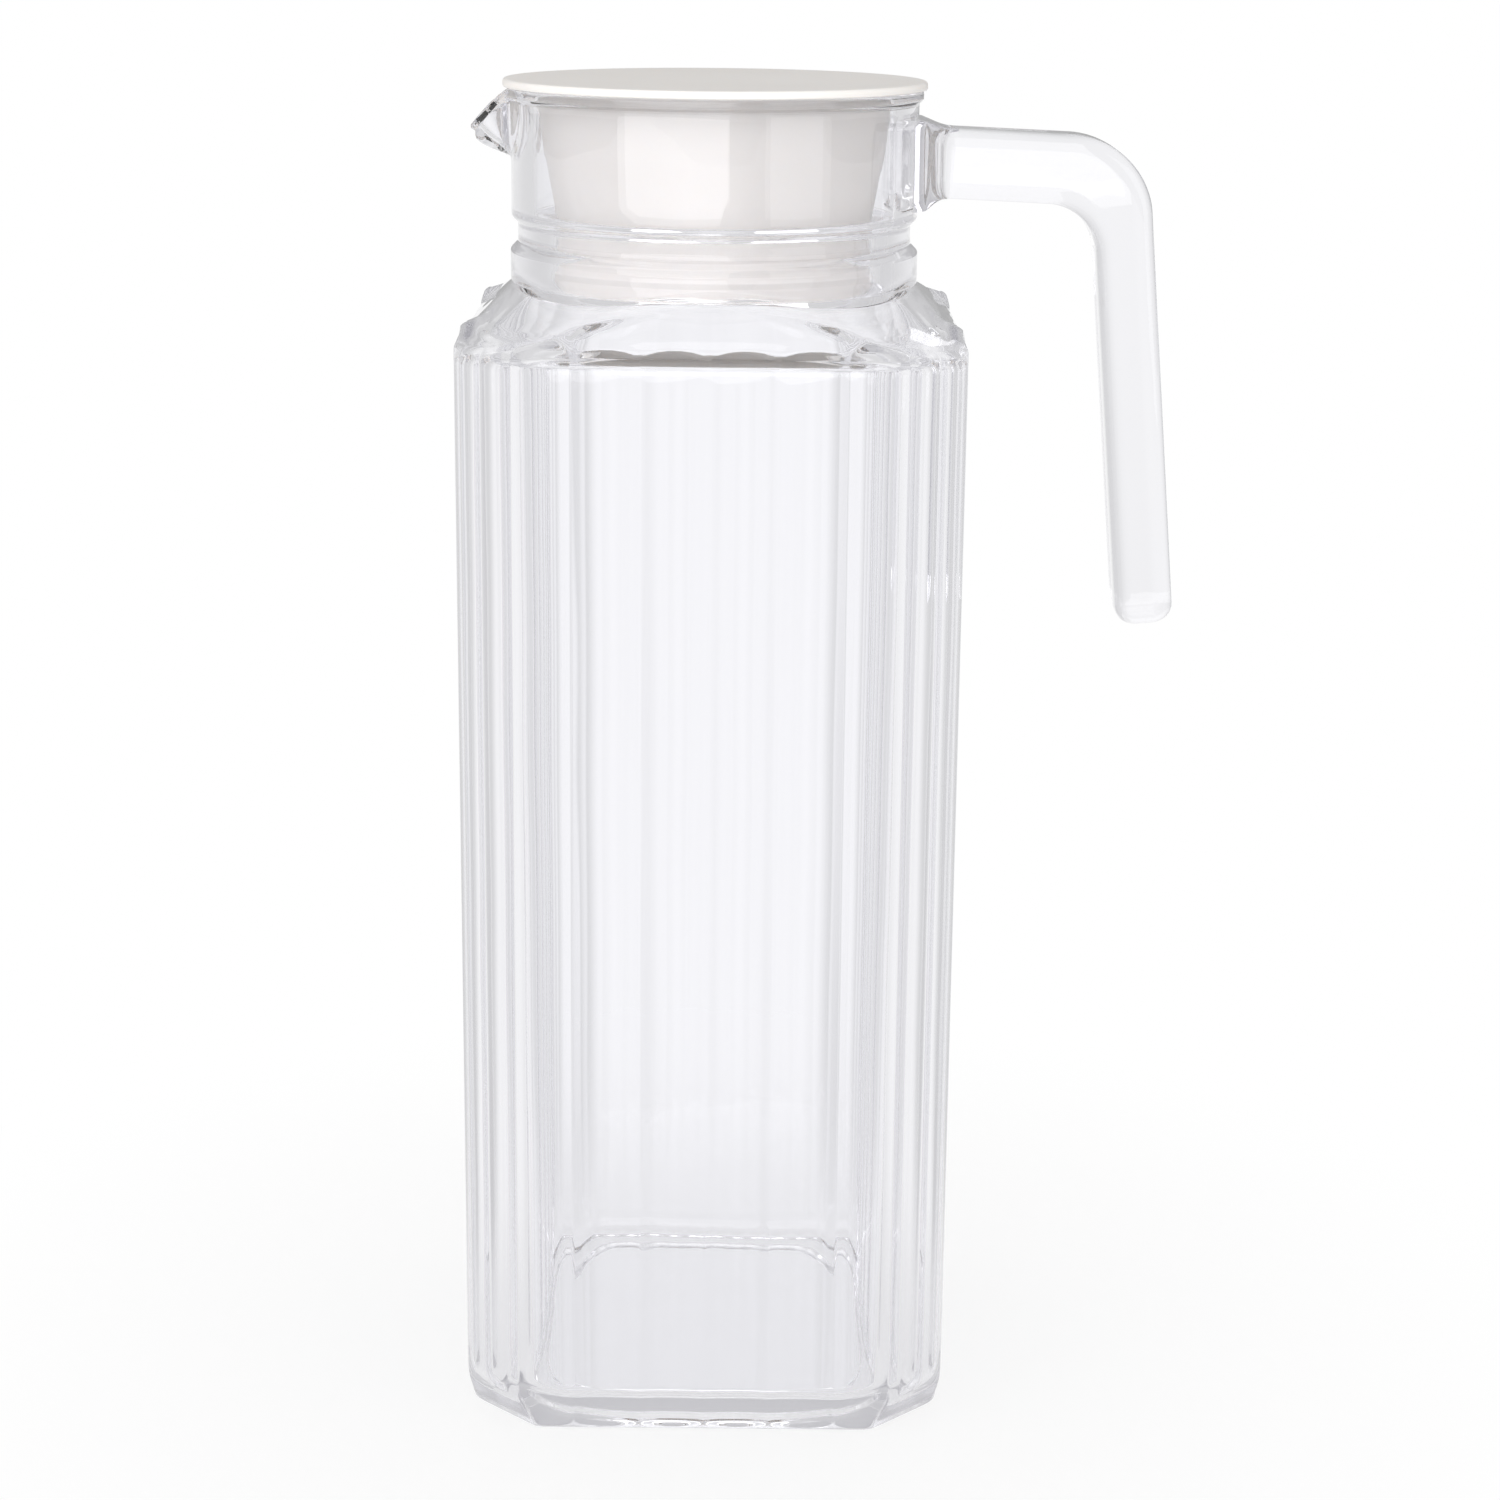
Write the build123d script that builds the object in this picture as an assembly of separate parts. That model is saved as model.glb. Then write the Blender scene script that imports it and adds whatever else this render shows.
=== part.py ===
from build123d import *
import math
import os

# A square glass fridge jug with upright flutes, a round pouring collar, an open-ended glass
# handle and a push-in plastic lid. Millimetres, +Z up. The origin is the centre of the foot
# on the table, the spout points along -X and the handle along +X.

# Body, a fluted rounded square
body_width = 92.0  # across the flats at the shoulder
base_width = 91.0  # across the flats at the table
corner_radius = 11.0
shoulder_drop = 7.5  # from the neck's foot to where the walls and the shoulder faces would meet
shoulder_round = 4.0
round_steps = 3  # flat bands that make up each rounding
body_wall = 4.2
floor_thickness = 4.5
inner_corner_radius = 18.0
inner_heel_radius = 3.8
inner_shoulder_round = 6.0

# Flutes, shallow round grooves side by side
face_flutes = 6
face_flute_width = 12.3  # the outermost flute of each face takes what is left
face_flute_depth = 0.9
corner_flutes = 3
corner_flute_depth = 0.45
ridge_flat = 0.12  # the ridges between flutes are blunted this much

# Foot
heel_inset = 1.6  # of the bottom edge, where the walls round under
heel_height = 2.6
heel_facet_inset = 6.3  # of the corner facets, along the diagonal at the table
heel_facet_slope = 62.0  # degrees from level
foot_recess = 1.2  # the bottom is hollowed this much inside its standing ring
foot_ring_width = 8.8
foot_hollow_corner_radius = 24.0

# Shoulder, four slanted faces, a leaf-shaped facet at each corner and a shallow cone at the neck
leaf_slope = 12.0  # degrees from level
leaf_reach = 46.3  # from the axis to a point high on the leaf, along the diagonal
leaf_drop = 3.2  # of that point below the neck's foot
cone_slope = 15.0  # degrees from level

# Neck and collar, round
rim_height = 248.5  # of the whole jug without its lid
neck_length = 36.0  # from the neck's foot to the rim
neck_radius = 36.6
neck_bead_radius = 38.0
neck_bead_height = 5.6
groove_height = 5.0
collar_radius = 37.8
rim_bead_radius = 38.6
rim_bead_height = 1.9
throat_radius = 29.8
throat_rise = 1.0  # of the throat's lower end above the neck's foot
throat_length = 9.5
ledge_height = 2.7  # of the cone from the throat out to the collar's bore
collar_bore_radius = 33.6
edge_round = 0.7  # of the beads and the rim

# Spout
spout_reach = 45.3  # from the axis to the tip
spout_tip_drop = 7.4  # of the tip below the rim
spout_tip_height = 1.1
spout_root_drop = 12.8  # below the rim, where the underside meets the collar
spout_bulge = 1.9  # of the lip's upper edge above a straight line
spout_nose_radius = 5.0
spout_half_width = 13.0  # at the collar
spout_wall = 2.1
spout_floor_slope = 9.0  # degrees, up towards the tip

# Handle, an arm and a hanging limb with a free end
handle_width = 14.0  # along Y
handle_edge_radius = 2.6
arm_drop = 6.6  # of the arm's top below the rim, at the collar
arm_thickness = 12.9
arm_fall = 2.3  # degrees, of the arm on the way out
handle_reach = 81.2  # from the axis to the limb's outer side, level with the arm's underside
limb_thickness = 10.9
limb_length = 80.0  # from the arm's underside at the collar straight down to the free end
limb_lean = 5.0  # degrees, outwards on the way down
elbow_outer_radius = 16.0
elbow_inner_radius = 9.5
limb_end_round = 3.8
root_flare = 2.6  # of the arm on every side, where it meets the collar
root_length = 7.0  # of the flare, outside the collar

# Lid, a disc with a hollow tapered plug
flange_radius = 39.3
flange_thickness = 1.5
flange_edge_round = 0.5
plug_top_clearance = 0.6  # round the top of the plug, in the collar's bore
plug_middle_radius = 31.6
plug_middle_drop = 11.5  # below the rim, where the plug has that radius
plug_low_radius = 29.5  # level with the top of the ledge
plug_wall = 1.7
plug_throat_clearance = 0.7  # round the foot of the plug, in the throat
plug_end_drop = 2.0  # of the plug's foot below the throat's lower end
rib_clearance = 0.3  # of the sealing ribs in the throat
rib_height = 1.0
rib_spacing = 3.6
rib_count = 2

# Heights and lengths that follow from the sizes above
half_body = body_width / 2
half_base = base_width / 2
half_inside = half_body - body_wall
neck_height = rim_height - neck_length
shoulder_height = neck_height - shoulder_drop
face_rise = shoulder_drop / (half_body - neck_bead_radius)  # of the shoulder faces, per millimetre inwards
taper = (half_body - half_base) / shoulder_height
throat_bottom = neck_height + throat_rise
throat_top = throat_bottom + throat_length
ledge_top = throat_top + ledge_height
bead_bottom = neck_height + edge_round
bead_top = bead_bottom + neck_bead_height
groove_top = bead_top + groove_height
lid_top = rim_height + flange_thickness
arm_top = rim_height - arm_drop
arm_underside = arm_top - arm_thickness
limb_end = arm_underside - limb_length
far = 3 * body_width  # larger than anything it cuts
diagonal = math.sqrt(2)
corner_directions = (45, 135, 225, 315)  # degrees round the axis


def half_width_at(height):
    return half_base + taper * height


def fluted_outline(height):
    """The fluted square at one height: hollow arcs between the ridges, anticlockwise."""
    half_width = half_width_at(height)
    flat = half_width - corner_radius
    inner_ridges = range(1 - face_flutes // 2, face_flutes // 2)
    ridges = [(half_width, -flat)]
    ridges += [(half_width, k * face_flute_width) for k in inner_ridges]
    ridges += [(half_width, flat)]
    depths = [face_flute_depth] * face_flutes + [corner_flute_depth] * corner_flutes
    for k in range(1, corner_flutes + 1):
        turn = math.radians(90 * k / corner_flutes)
        ridges.append((flat + corner_radius * math.cos(turn), flat + corner_radius * math.sin(turn)))
    arcs = []
    for (start, end), depth in zip(zip(ridges, ridges[1:]), depths):
        run = (Vector(end) - Vector(start)).normalized()
        inwards = Vector(-run.Y, run.X)
        middle = (Vector(start) + Vector(end)) * 0.5 + inwards * depth
        arcs.append(ThreePointArc(start, middle, end))
    turned = [arc.rotate(Axis.Z, 90 * quarter) for quarter in range(4) for arc in arcs]
    return Pos(0, 0, height) * make_face(Wire(turned))


def rounded_square(half_width, radius, height):
    return Pos(0, 0, height) * RectangleRounded(2 * half_width, 2 * half_width, radius)


def space_above(reach, height, slope, direction):
    """All space above a plane that falls outwards; direction is in degrees round the axis."""
    slab = Pos(0, 0, far / 2) * Box(far, far, far)
    return Rot(0, 0, direction) * Pos(reach, 0, height) * Rot(0, slope, 0) * slab


def space_below(reach, height, slope, direction):
    """All space below a plane that rises outwards; direction is in degrees round the axis."""
    slab = Pos(0, 0, -far / 2) * Box(far, far, far)
    return Rot(0, 0, direction) * Pos(reach, 0, height) * Rot(0, -slope, 0) * slab


def space_above_cone():
    """All space above the shallow cone that falls outwards from the foot of the neck."""
    drop = (far - neck_bead_radius) * math.tan(math.radians(cone_slope))
    profile = Polygon(
        (neck_bead_radius, neck_height),
        (far, neck_height - drop),
        (far, neck_height + far),
        (neck_bead_radius, neck_height + far),
        align=None,
    )
    return revolve(Plane.XZ * profile, Axis.Z)


def smooth_body():
    """The body without its flutes: tapered walls that round over into the slanted shoulder."""
    round_start = shoulder_height - shoulder_round * math.tan(math.pi / 8)
    sections = []
    for step in range(round_steps + 1):
        turn = math.radians(90 * step / round_steps)
        height = heel_height * (1 - math.cos(turn))
        inset = ridge_flat + heel_inset * (1 - math.sin(turn))
        sections.append(rounded_square(half_width_at(height) - inset, corner_radius, height))
    for step in range(round_steps + 1):
        turn = math.radians(45 * step / round_steps)
        height = round_start + shoulder_round * math.sin(turn)
        inset = ridge_flat + shoulder_round * (1 - math.cos(turn))
        sections.append(rounded_square(half_body - inset, corner_radius, height))
    sections.append(rounded_square(neck_bead_radius, corner_radius, neck_height))
    block = loft(sections, ruled=True)
    for direction in corner_directions:
        block -= space_above(leaf_reach, neck_height - leaf_drop, leaf_slope, direction)
    return block - space_above_cone()


def glass_body():
    """The fluted body with its foot."""
    flutes = loft([fluted_outline(0), fluted_outline(neck_height)], ruled=True)
    body = smooth_body() & flutes
    corner_reach = (half_base - corner_radius) * diagonal + corner_radius
    for direction in corner_directions:
        body -= space_below(corner_reach - heel_facet_inset, 0, heel_facet_slope, direction)
    return body


def neck_and_collar():
    """The round neck with its bead and groove under the collar, all solid."""
    rim_bead_bottom = rim_height - rim_bead_height
    outline = FilletPolyline(
        (neck_bead_radius - edge_round, neck_height - shoulder_round),
        (neck_bead_radius - edge_round, neck_height),
        (neck_bead_radius, bead_bottom),
        (neck_bead_radius, bead_top),
        (neck_radius, bead_top + 2 * edge_round),
        (neck_radius, groove_top),
        (collar_radius, groove_top + 2 * edge_round),
        (collar_radius, rim_bead_bottom - edge_round),
        (rim_bead_radius, rim_bead_bottom),
        (rim_bead_radius, rim_height),
        (collar_bore_radius, rim_height),
        radius=edge_round / 2,
    )
    closing = Polyline(outline @ 1, (0, rim_height), (0, neck_height - shoulder_round), outline @ 0)
    return revolve(Plane.XZ * make_face(outline + closing), Axis.Z)


def inner_block():
    """The space between the walls, which closes in one wall's thickness under the shoulder."""
    face_drop = body_wall * math.hypot(1, face_rise)
    wall_top = shoulder_height + face_rise * body_wall - face_drop
    round_start = wall_top - inner_shoulder_round * math.tan(math.pi / 8)
    sections = [rounded_square(half_base - body_wall, inner_corner_radius, floor_thickness)]
    for step in range(round_steps + 1):
        turn = math.radians(45 * step / round_steps)
        height = round_start + inner_shoulder_round * math.sin(turn)
        inset = inner_shoulder_round * (1 - math.cos(turn))
        sections.append(rounded_square(half_inside - inset, inner_corner_radius, height))
    throat_meets = shoulder_height + face_rise * (half_body - throat_radius) - face_drop
    sections.append(rounded_square(throat_radius, inner_corner_radius, throat_meets))
    block = loft(sections, ruled=True)
    block = fillet(block.faces().sort_by(Axis.Z)[0].edges(), inner_heel_radius)
    leaf_wall = body_wall / math.cos(math.radians(leaf_slope))
    for direction in corner_directions:
        block -= space_above(leaf_reach, neck_height - leaf_drop - leaf_wall, leaf_slope, direction)
    return block


def cavity():
    """The space inside: the body, the throat, the ledge and the bore."""
    leaf_lift = (leaf_reach - throat_radius) * math.tan(math.radians(leaf_slope))
    leaf_meets = neck_height - leaf_drop + leaf_lift - body_wall / math.cos(math.radians(leaf_slope))
    bore = Polygon(
        (0, leaf_meets - edge_round),
        (throat_radius, leaf_meets - edge_round),
        (throat_radius, throat_top),
        (collar_bore_radius, ledge_top),
        (collar_bore_radius, rim_height - edge_round),
        (collar_bore_radius + edge_round, rim_height),
        (0, rim_height),
        align=None,
    )
    return inner_block() + revolve(Plane.XZ * bore, Axis.Z)


def spout_plan():
    """The spout seen from above: a rounded nose that widens back to the collar."""
    nose = spout_nose_radius - spout_reach
    root = -math.sqrt(collar_bore_radius ** 2 - spout_half_width ** 2)
    right_side = [(root, spout_half_width), (nose, spout_nose_radius)]
    left_side = [(x, -y) for x, y in reversed(right_side)]
    return Polygon(*right_side, *left_side, align=None) + Pos(nose, 0) * Circle(spout_nose_radius)


def spout():
    """A drooping lip: its plan and its side view, each run through the other."""
    tip_top = rim_height - spout_tip_drop
    root_bottom = rim_height - spout_root_drop
    root_top = (-rim_bead_radius, rim_height)
    tip = (-spout_reach, tip_top)
    arc_middle = (
        -(rim_bead_radius + spout_reach) / 2 - spout_bulge,
        (rim_height + tip_top) / 2 + spout_bulge,
    )
    underside = Polyline(
        tip,
        (-spout_reach + spout_tip_height / 2, tip_top - spout_tip_height),
        (-collar_radius, root_bottom),
        (-collar_bore_radius - edge_round, root_bottom),
        (-collar_bore_radius - edge_round, rim_height),
        root_top,
    )
    side = make_face(underside + ThreePointArc(root_top, arc_middle, tip))
    side_prism = extrude(Plane.XZ * side, 2 * spout_half_width, both=True)
    plan_prism = extrude(Pos(0, 0, rim_height - 2 * spout_root_drop) * spout_plan(), 2 * spout_root_drop)
    return side_prism & plan_prism


def spout_channel():
    """The channel through the collar and out over the tip of the lip, open at the top."""
    end = spout_reach + spout_wall
    tip_floor = rim_height - spout_tip_drop
    root_floor = tip_floor - end * math.tan(math.radians(spout_floor_slope))
    side = Polygon(
        (0, root_floor), (-end, tip_floor), (-end, rim_height + edge_round), (0, rim_height + edge_round),
        align=None,
    )
    root_half = spout_half_width - spout_wall
    root = -math.sqrt(collar_bore_radius ** 2 - root_half ** 2)
    nose = spout_nose_radius - spout_reach
    nose_half = spout_nose_radius - spout_wall
    right_side = [(root, root_half), (nose, nose_half), (-end, nose_half)]
    left_side = [(x, -y) for x, y in reversed(right_side)]
    plan = Polygon(*right_side, *left_side, align=None)
    plan_prism = extrude(Pos(0, 0, root_floor) * plan, far)
    return extrude(Plane.XZ * side, spout_half_width, both=True) & plan_prism


def handle():
    """The arm and the hanging limb, with a flared root at the collar."""
    lean = math.tan(math.radians(limb_lean))
    fall = math.tan(math.radians(arm_fall))
    across = limb_thickness / math.cos(math.radians(limb_lean))
    end_reach = handle_reach + lean * limb_length
    start = collar_bore_radius + spout_wall
    outer_end = handle_reach - lean * arm_thickness
    inner_end = handle_reach - across
    outline = FilletPolyline(
        (start, arm_top + fall * (collar_radius - start)),
        (outer_end, arm_top + fall * (collar_radius - outer_end)),
        (end_reach, limb_end),
        (end_reach - across, limb_end),
        (inner_end, arm_underside + fall * (collar_radius - inner_end)),
        (start, arm_underside + fall * (collar_radius - start)),
        radius=[elbow_outer_radius, limb_end_round, limb_end_round, elbow_inner_radius],
    )
    face = make_face(outline + Line(outline @ 1, outline @ 0))
    bar = extrude(Plane.XZ * face, handle_width / 2, both=True)
    side_faces = bar.faces().sort_by(Axis.Y)
    rim_edges = side_faces[0].edges() + side_faces[-1].edges()
    kept = [edge for edge in rim_edges if edge.center().X > start + edge_round]
    bar = fillet(kept, handle_edge_radius)
    middle = (arm_top + arm_underside) / 2
    sink = edge_round / 5  # keeps the end of the flare inside the arm
    wide = Plane.YZ.offset(start) * Pos(0, middle) * RectangleRounded(
        handle_width + 2 * root_flare, arm_thickness + 2 * root_flare, handle_edge_radius + root_flare / 2
    )
    narrow = Plane.YZ.offset(collar_radius + root_length) * Pos(0, middle) * RectangleRounded(
        handle_width - sink, arm_thickness - sink, handle_edge_radius
    )
    return bar + loft([wide, narrow], ruled=True)


def foot_hollow():
    """The shallow hollow inside the standing ring."""
    half_width = half_base - foot_ring_width
    return extrude(rounded_square(half_width, foot_hollow_corner_radius, 0), foot_recess)


def glass_jug():
    outside = glass_body() + neck_and_collar() + spout() + handle()
    return outside - cavity() - spout_channel() - foot_hollow()


def lid():
    """The disc and its hollow plug, one moulded piece; its middle is the jug's axis."""
    top_radius = collar_bore_radius - plug_top_clearance
    foot_radius = throat_radius - plug_throat_clearance
    foot_height = throat_bottom - plug_end_drop
    middle_height = rim_height - plug_middle_drop
    outline = [
        (0, lid_top),
        (flange_radius - flange_edge_round, lid_top),
        (flange_radius, lid_top - flange_edge_round),
        (flange_radius, rim_height),
        (top_radius, rim_height),
        (plug_middle_radius, middle_height),
        (plug_low_radius, ledge_top),
        (foot_radius, throat_top),
    ]
    for rib in range(rib_count):
        middle = throat_top - rib_spacing * (rib + 1)
        outline.append((foot_radius, middle + rib_height))
        outline.append((throat_radius - rib_clearance, middle + rib_height / 2))
        outline.append((throat_radius - rib_clearance, middle - rib_height / 2))
        outline.append((foot_radius, middle - rib_height))
    outline += [
        (foot_radius, foot_height),
        (foot_radius - plug_wall, foot_height),
        (foot_radius - plug_wall, throat_top),
        (plug_low_radius - plug_wall, ledge_top),
        (plug_middle_radius - plug_wall, middle_height),
        (top_radius - plug_wall, rim_height),
        (0, rim_height),
    ]
    return revolve(Plane.XZ * make_face(Polyline(*outline, close=True)), Axis.Z)


os.makedirs("parts", exist_ok=True)
pieces = {"glass_jug": glass_jug(), "lid": lid()}
for name, piece in pieces.items():
    export_step(piece, f"parts/{name}.step")
    print(name, round(piece.volume / 1000, 1), "cm3")
print("holds", round(cavity().volume / 1e6, 3), "litres to the brim")
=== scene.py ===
import math
import bpy
import numpy as np
from mathutils import Matrix, Vector


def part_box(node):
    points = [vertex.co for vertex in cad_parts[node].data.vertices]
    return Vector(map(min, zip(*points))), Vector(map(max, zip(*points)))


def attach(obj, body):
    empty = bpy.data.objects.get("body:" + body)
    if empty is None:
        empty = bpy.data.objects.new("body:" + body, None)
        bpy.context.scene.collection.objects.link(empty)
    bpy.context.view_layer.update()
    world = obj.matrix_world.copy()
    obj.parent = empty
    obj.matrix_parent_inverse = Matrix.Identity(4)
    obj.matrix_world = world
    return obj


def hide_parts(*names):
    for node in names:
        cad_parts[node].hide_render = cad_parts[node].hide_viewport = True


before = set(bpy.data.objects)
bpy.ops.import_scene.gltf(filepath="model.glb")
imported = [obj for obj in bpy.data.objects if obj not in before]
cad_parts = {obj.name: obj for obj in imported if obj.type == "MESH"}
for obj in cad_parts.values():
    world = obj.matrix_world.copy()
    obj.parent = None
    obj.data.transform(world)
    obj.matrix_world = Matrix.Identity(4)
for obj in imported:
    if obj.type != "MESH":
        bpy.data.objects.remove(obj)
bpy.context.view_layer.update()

# Lengths in this file are in millimetres until a mesh is written, and MM turns them into metres.
# A SOFTNESS says over about how many millimetres two surfaces run into each other.
MM = 0.001
jug_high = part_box("glass_jug")[1] / MM
lid_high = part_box("lid")[1] / MM
DIAGONAL = math.sqrt(2)

# Body
RIDGE_FLAT = 0.12
HALF_BODY = jug_high.y + RIDGE_FLAT
BODY_TAPER = 0.5  # how much further in the sides stand at the foot
HALF_BASE = HALF_BODY - BODY_TAPER
CORNER_RADIUS = 11.0
SHOULDER_HEIGHT = 205.0
SHOULDER_ROUND = 2.6
FACE_FLUTE_WIDTH = 12.3
FACE_FLUTE_DEPTH = 0.9
CORNER_FLUTE_DEPTH = 0.45
FACE_RIDGES = (-2, -1, 0, 1, 2)  # in flute widths from the middle of a side
CORNER_FLUTES = 3
RIDGE_SOFTNESS = 0.07

# Foot
HEEL_INSET = 1.6
HEEL_HEIGHT = 2.6
FACET_INSET = 6.3
FACET_SLOPE = math.radians(62)
FACET_SOFTNESS = 0.3
FACET_TOP = 14.0  # above this height the corner facets have run out
FOOT_RING = 8.8
FOOT_RECESS = 1.2
HOLLOW_CORNER = 24.0
HOLLOW_CROWN = 0.25  # how much deeper the hollow is in its middle
HOLLOW_EDGE = 0.02  # width of its sloping edge, as a share of its reach

# Shoulder and neck
NECK_HEIGHT = 212.5
LEAF_SLOPE = math.tan(math.radians(16))
LEAF_REACH = 46.3
LEAF_DROP = 3.3
LEAF_SOFTNESS = 0.25
INNER_LEAF_SLOPE = math.tan(math.radians(19.5))
INNER_LEAF_REACH = 42.4
INNER_LEAF_HEIGHT = NECK_HEIGHT - 5.5
INNER_SOFTNESS = 0.8
CORNER_LIFT = 4.0  # of the shoulder's edge towards the corners
CORNER_START = 22.0  # from the middle of a side to where the lift starts
CORNER_BLEND = 8.0  # from there to where it is full
EDGE_SOFTNESS = 0.3
EDGE_TURN = math.radians(45)  # how far the shoulder's rounding bends along the sides
CORNER_TURN = math.radians(33)  # how much further it bends at the corners
CONE_SLOPE = math.tan(math.radians(15))
CONE_SOFTNESS = 0.2
NECK_BEAD_RADIUS = 38.0
NECK_RADIUS = 36.6
NECK_BEAD_HEIGHT = 5.6
GROOVE_HEIGHT = 5.0
COLLAR_RADIUS = 37.8
RIM_BEAD_RADIUS = 38.6
RIM_BEAD_HEIGHT = 1.9
RIM_HEIGHT = jug_high.z
EDGE_ROUND = 0.7
FACE_SLOPE = (NECK_HEIGHT - SHOULDER_HEIGHT) / (HALF_BODY - NECK_BEAD_RADIUS)

# Inside
BODY_WALL = 4.2
HALF_INSIDE = HALF_BODY - BODY_WALL
FLOOR = 4.5
FLOOR_CROWN = 0.3
INNER_CORNER = 18.0
INNER_HEEL = 3.8
INNER_ROUND = 6.0
THROAT_RADIUS = 29.8
THROAT_BOTTOM = 213.5
THROAT_TOP = 223.0
THROAT_CURL = 1.2  # how far the inner shoulder turns up into the throat
CURL_FADE = 12
LEDGE_TOP = THROAT_TOP + 2.7
BORE_RADIUS = 33.6
WAVE_DEPTH = 0.10  # of the unevenness of the inner walls
WAVE_LOW, WAVE_HIGH = 20.0, 190.0  # heights between which the inner walls are uneven
WAVE_FADE = 30.0
FOLLOW_START = 120.0  # from here up the inner walls' rows bend towards the rounding's edge
FOLLOW_BLEND = 60.0

# Spout
SPOUT_REACH = 45.3
SPOUT_DROP = 7.0
SPOUT_ROOT_DROP = 12.8
SPOUT_WALL = 1.6
SPOUT_SPREAD = math.radians(7.6)  # half width of the lip, seen from above
SPOUT_DIP_SPREAD = math.radians(6.7)  # half width of the dip in the rim

# Handle
HANDLE_HALF_WIDTH = 7.0
HANDLE_EDGE = 2.6
EDGE_LOSS = 0.35  # of that rounding, for each millimetre that a section is let in
LEAST_EDGE = 0.6
ARM_TOP = RIM_HEIGHT - 6.6
ARM_UNDERSIDE = ARM_TOP - 12.9
ARM_MIDDLE = (ARM_TOP + ARM_UNDERSIDE) / 2
ARM_START = COLLAR_RADIUS + 1.0
ARM_FALL = math.tan(math.radians(2.3))
LIMB_LEAN = math.radians(5.0)
LIMB_ACROSS = 10.9 / math.cos(LIMB_LEAN)
LIMB_END = ARM_UNDERSIDE - 80.0
LIMB_END_ROUND = 4.0
HANDLE_REACH = 81.2
ELBOW_OUTER = 16.0
ELBOW_INNER = 9.5
ROOT_FLARE = 2.6
ROOT_LENGTH = 7.0
ROOT_FADE = 1.6
ROOT_STEP = 0.25  # the least step out from the collar between two sections
ROOT_HALF_HEIGHT = (ARM_TOP - ARM_UNDERSIDE) / 2 + ROOT_FLARE
ROOT_HALF_WIDTH = HANDLE_HALF_WIDTH + ROOT_FLARE

# Lid
LID_RADIUS = lid_high.x
LID_TOP = lid_high.z
LID_CENTRE = 0.5  # radius of the small face that closes the disc's middle
PLUG_TOP = BORE_RADIUS - 0.6
PLUG_MIDDLE = 31.6
PLUG_MIDDLE_HEIGHT = 237.0
PLUG_LOW = 29.5
PLUG_FOOT = THROAT_RADIUS - 0.7
PLUG_END = THROAT_BOTTOM - 2.0
PLUG_WALL = 1.7
RIB_OUT = 0.4
RIB_SPACING = 3.6

# Counts of mesh rows and columns
FACE_COLUMNS = 9  # across one flute of a face
CORNER_COLUMNS = 6
HEEL_ROWS = 9
FACET_ROWS = 13
WALL_ROWS = 29
SHOULDER_ROUND_ROWS = 14
SHOULDER_ROWS = 27
INNER_SHOULDER_ROWS = 21
INNER_ROUND_ROWS = 10
INNER_WALL_ROWS = 29
INNER_HEEL_ROWS = 12
ARM_ROWS = 25
ELBOW_ROWS = 25
LIMB_ROWS = 39
LIMB_END_ROWS = 9
BEND_ROWS = 6  # on one rounded corner of a profile
OUTER_STEP = 1.2  # length of a mesh face along a profile
INNER_STEP = 1.6
LID_COLUMNS = 192
NEARLY_STRAIGHT = 0.01  # radians
SAME_PLACE = 1e-6


def soft_max(a, b, softness):
    """The larger of two, with the change from one to the other rounded off."""
    return 0.5 * (a + b + np.sqrt((a - b) ** 2 + 4 * softness ** 2))


def soft_min(a, b, softness):
    return -soft_max(-a, -b, softness)


def smooth_step(t):
    t = np.clip(t, 0, 1)
    return t * t * (3 - 2 * t)


def blend(first, second, share):
    """The place that far on the way from the first to the second."""
    return first + (second - first) * share


def turns(degrees, steps, first=0):
    """Even steps of an angle, from 0 or a later step to the full turn."""
    return [math.radians(degrees * step / steps) for step in range(first, steps + 1)]


def link(name, data):
    """Puts a new object into the scene."""
    thing = bpy.data.objects.new(name, data)
    bpy.context.scene.collection.objects.link(thing)
    return thing


def new_object(name, points, faces, body):
    mesh = bpy.data.meshes.new(name)
    mesh.from_pydata([tuple(p) for p in np.asarray(points) * MM], [], faces)
    mesh.validate()
    mesh.update()
    mesh.polygons.foreach_set("use_smooth", [True] * len(mesh.polygons))
    piece = link(name, mesh)
    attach(piece, body)
    return piece


def skin_faces(row_count, columns, hole=frozenset(), flipped=False):
    """Faces between neighbouring rows, but for a hole of (row, column) places, and two caps."""
    faces = []
    for r in range(row_count - 1):
        a, b = r * columns, (r + 1) * columns
        for c in range(columns):
            if (r, c) in hole:
                continue
            n = (c + 1) % columns
            faces.append((a + c, b + c, b + n, a + n) if flipped else (a + c, a + n, b + n, b + c))
    last = (row_count - 1) * columns
    first_cap, last_cap = tuple(range(columns)), tuple(range(last, last + columns))
    faces += [first_cap, last_cap[::-1]] if flipped else [first_cap[::-1], last_cap]
    return faces


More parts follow.
